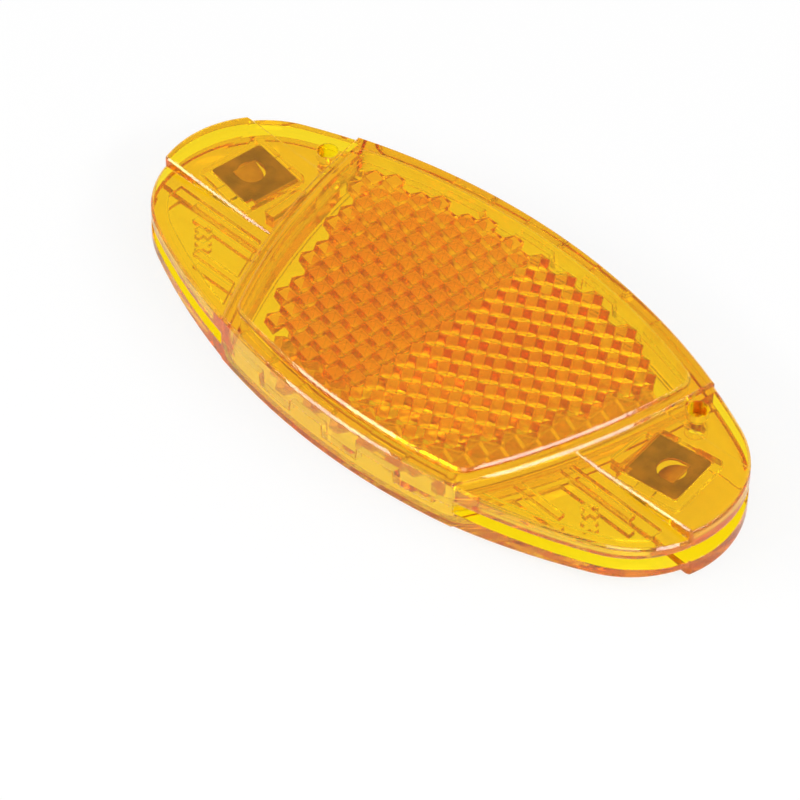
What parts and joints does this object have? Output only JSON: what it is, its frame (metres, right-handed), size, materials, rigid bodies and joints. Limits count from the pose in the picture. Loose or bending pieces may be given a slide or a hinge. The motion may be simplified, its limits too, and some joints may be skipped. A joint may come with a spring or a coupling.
{
  "type": "bicycle spoke reflector",
  "caption": "Flat oval amber reflector for a bicycle wheel: prism lens shells welded back to back, with a slot and a spring clip for a spoke at each end.",
  "frame": {"origin": "middle of the back lens face, which the part lies on", "axes": "+X along the oval, +Y to the side where the two spokes draw together, +Z out of the front lens"},
  "size_m": [0.1082, 0.0502, 0.0105],
  "materials": {
    "amber_lens": "clear amber, polished",
    "spring_steel": "plain rolled sheet"
  },
  "bodies": {
    "root": {"front_shell": "amber_lens", "back_shell": "amber_lens", "left_spoke_clip": "spring_steel", "right_spoke_clip": "spring_steel"}
  },
  "joints": []
}
